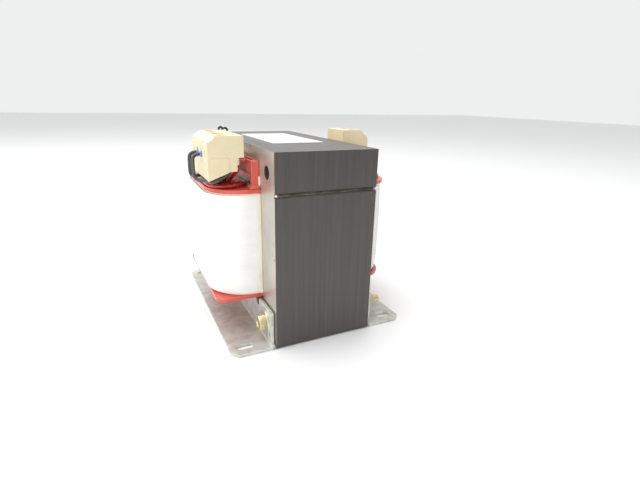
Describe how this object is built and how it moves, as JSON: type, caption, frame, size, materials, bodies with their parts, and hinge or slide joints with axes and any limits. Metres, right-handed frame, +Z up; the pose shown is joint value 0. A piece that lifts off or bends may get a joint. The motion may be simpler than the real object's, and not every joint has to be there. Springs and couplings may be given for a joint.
{
  "type": "open-frame autotransformer",
  "caption": "Open-frame laminated-core autotransformer: welded EI core, wrapped coil on a red former, screw terminal blocks and slotted foot brackets.",
  "frame": {"origin": "middle of the pattern of mounting slots, on the underside of the feet", "axes": "+Z up; +X through the lamination stack, from the bolt-head side to the nut side; +Y along the yoke"},
  "size_m": [0.1751, 0.1928, 0.1719],
  "materials": {
    "core_varnish": "dark baked varnish",
    "weld_metal": "rough weld",
    "label_film": "blank white film",
    "red_moulding": "moulded",
    "rail_moulding": "moulded",
    "enamelled_copper": "enamelled wire",
    "insulating_paper": "paper",
    "white_wrap": "wrapped tape",
    "beige_moulding": "moulded",
    "marker_white": "smooth",
    "tinned_copper": "tinned",
    "red_sleeve": "sleeving",
    "black_sleeve": "wire insulation",
    "ferrule_blue": "moulded collar",
    "ferrule_tin": "tinned",
    "zinc_sheet": "galvanised",
    "pressboard": "pressboard",
    "black_liner": "film",
    "tube_brown": "wound tube",
    "yellow_zinc": "yellow passivated zinc",
    "pale_zinc": "pale passivated zinc",
    "screw_zinc": "zinc plated",
    "cage_zinc": "zinc plated"
  },
  "bodies": {
    "transformer": {"e_laminations": "core_varnish", "i_laminations": "core_varnish", "weld_beads": "weld_metal", "rating_label": "label_film", "coil_former": "red_moulding", "common_winding": "enamelled_copper", "interlayer_insulation": "insulating_paper", "series_winding": "enamelled_copper", "coil_wrap": "white_wrap", "left_terminal_rail": "rail_moulding", "right_terminal_rail": "rail_moulding", "left_terminal_block": "beige_moulding", "right_terminal_block": "beige_moulding", "left_marker_strip": "marker_white", "right_marker_strip": "marker_white", "left_current_bars": "tinned_copper", "right_current_bars": "tinned_copper", "left_winding_leads": "red_sleeve", "right_winding_leads": "red_sleeve", "near_jumper_wire": "black_sleeve", "far_jumper_wire": "black_sleeve", "rear_sleeved_leads": "black_sleeve", "ferrule_collars": "ferrule_blue", "ferrule_sleeves": "ferrule_tin", "left_foot_bracket": "zinc_sheet", "right_foot_bracket": "zinc_sheet", "foot_insulating_sheets": "pressboard", "window_liner_tabs": "black_liner", "bolt_insulating_tubes": "tube_brown", "yoke_bolts": "yellow_zinc", "yoke_nuts": "yellow_zinc", "plain_washers": "pale_zinc", "spring_washers": "pale_zinc"},
    "left_clamp_screw_1": {"left_clamp_screw_1": "screw_zinc"},
    "left_clamp_cage_1": {"left_clamp_cage_1": "cage_zinc"},
    "left_clamp_screw_2": {"left_clamp_screw_2": "screw_zinc"},
    "left_clamp_cage_2": {"left_clamp_cage_2": "cage_zinc"},
    "left_clamp_screw_3": {"left_clamp_screw_3": "screw_zinc"},
    "left_clamp_cage_3": {"left_clamp_cage_3": "cage_zinc"},
    "left_clamp_screw_4": {"left_clamp_screw_4": "screw_zinc"},
    "left_clamp_cage_4": {"left_clamp_cage_4": "cage_zinc"},
    "right_clamp_screw_1": {"right_clamp_screw_1": "screw_zinc"},
    "right_clamp_cage_1": {"right_clamp_cage_1": "cage_zinc"},
    "right_clamp_screw_2": {"right_clamp_screw_2": "screw_zinc"},
    "right_clamp_cage_2": {"right_clamp_cage_2": "cage_zinc"}
  },
  "joints": [
    {"name": "left_clamp_screw_1_turn", "type": "hinge", "parent": "transformer", "child": "left_clamp_screw_1", "pos_m": [-0.07, -0.0486, 0.1696], "axis": [0, 0, -1], "range_deg": [0, 1846]},
    {"name": "left_clamp_cage_1_lift", "type": "slide", "parent": "transformer", "child": "left_clamp_cage_1", "axis": [0, 0, 1], "range_m": [0, 0.0041]},
    {"name": "left_clamp_screw_2_turn", "type": "hinge", "parent": "transformer", "child": "left_clamp_screw_2", "pos_m": [-0.07, -0.0336, 0.1696], "axis": [0, 0, -1], "range_deg": [-811, 0]},
    {"name": "left_clamp_cage_2_lift", "type": "slide", "parent": "transformer", "child": "left_clamp_cage_2", "axis": [0, 0, 1], "range_m": [-0.0018, 0]},
    {"name": "left_clamp_screw_3_turn", "type": "hinge", "parent": "transformer", "child": "left_clamp_screw_3", "pos_m": [-0.07, -0.0186, 0.1696], "axis": [0, 0, -1], "range_deg": [-811, 0]},
    {"name": "left_clamp_cage_3_lift", "type": "slide", "parent": "transformer", "child": "left_clamp_cage_3", "axis": [0, 0, 1], "range_m": [-0.0018, 0]},
    {"name": "left_clamp_screw_4_turn", "type": "hinge", "parent": "transformer", "child": "left_clamp_screw_4", "pos_m": [-0.07, -0.0036, 0.1696], "axis": [0, 0, -1], "range_deg": [0, 1846]},
    {"name": "left_clamp_cage_4_lift", "type": "slide", "parent": "transformer", "child": "left_clamp_cage_4", "axis": [0, 0, 1], "range_m": [0, 0.0041]},
    {"name": "right_clamp_screw_1_turn", "type": "hinge", "parent": "transformer", "child": "right_clamp_screw_1", "pos_m": [0.07, 0.0075, 0.1696], "axis": [0, 0, -1], "range_deg": [0, 1846]},
    {"name": "right_clamp_cage_1_lift", "type": "slide", "parent": "transformer", "child": "right_clamp_cage_1", "axis": [0, 0, 1], "range_m": [0, 0.0041]},
    {"name": "right_clamp_screw_2_turn", "type": "hinge", "parent": "transformer", "child": "right_clamp_screw_2", "pos_m": [0.07, -0.0075, 0.1696], "axis": [0, 0, -1], "range_deg": [0, 1846]},
    {"name": "right_clamp_cage_2_lift", "type": "slide", "parent": "transformer", "child": "right_clamp_cage_2", "axis": [0, 0, 1], "range_m": [0, 0.0041]}
  ],
  "couplings": [
    {"joint": "left_clamp_screw_1_turn", "follows": "left_clamp_cage_1_lift", "rad_per_m": 7854},
    {"joint": "left_clamp_screw_2_turn", "follows": "left_clamp_cage_2_lift", "rad_per_m": 7854},
    {"joint": "left_clamp_screw_3_turn", "follows": "left_clamp_cage_3_lift", "rad_per_m": 7854},
    {"joint": "left_clamp_screw_4_turn", "follows": "left_clamp_cage_4_lift", "rad_per_m": 7854},
    {"joint": "right_clamp_screw_1_turn", "follows": "right_clamp_cage_1_lift", "rad_per_m": 7854},
    {"joint": "right_clamp_screw_2_turn", "follows": "right_clamp_cage_2_lift", "rad_per_m": 7854}
  ]
}
